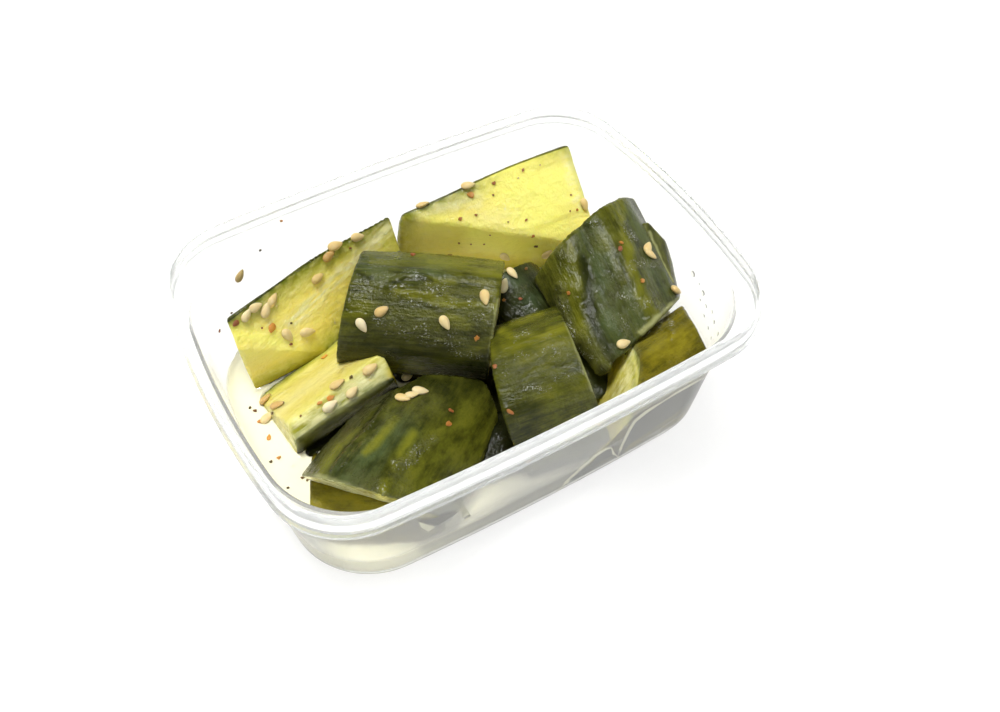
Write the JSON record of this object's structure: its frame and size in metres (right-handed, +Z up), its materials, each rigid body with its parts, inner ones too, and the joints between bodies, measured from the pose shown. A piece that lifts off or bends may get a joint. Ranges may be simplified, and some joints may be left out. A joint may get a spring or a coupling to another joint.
{
  "type": "tub of cucumber salad",
  "caption": "Small clear plastic tub holding a salad of thick cucumber chunks in shallow cloudy brine, with sesame seeds and chilli flakes on the pieces.",
  "frame": {"origin": "under the middle of the tub, on the surface that it stands on", "axes": "+X along the tub, -Y towards its front, +Z up out of its open mouth"},
  "size_m": [0.12, 0.0882, 0.042],
  "materials": {
    "tub_plastic": "clear, slightly milky moulded polypropylene, glossy",
    "brine": "cloudy liquid, glossy",
    "cucumber_skin": "dark green wrinkled cucumber skin, wet",
    "cucumber_flesh": "yellow-green translucent pickled flesh, wet"
  },
  "bodies": {
    "root": {"tub": "tub_plastic", "brine": "brine", "chunk_centre": "cucumber_skin", "wedge_right_corner": "cucumber_skin", "chunk_right_back": "cucumber_skin", "chunk_right_front": "cucumber_skin", "wedge_back_left": "cucumber_flesh", "wedge_front_left": "cucumber_flesh", "chunk_front": "cucumber_skin", "wedge_back": "cucumber_flesh", "chunk_right_behind": "cucumber_skin", "chunk_front_low": "cucumber_skin", "chunk_low_middle": "cucumber_skin", "chunk_low_front": "cucumber_skin"}
  },
  "joints": []
}
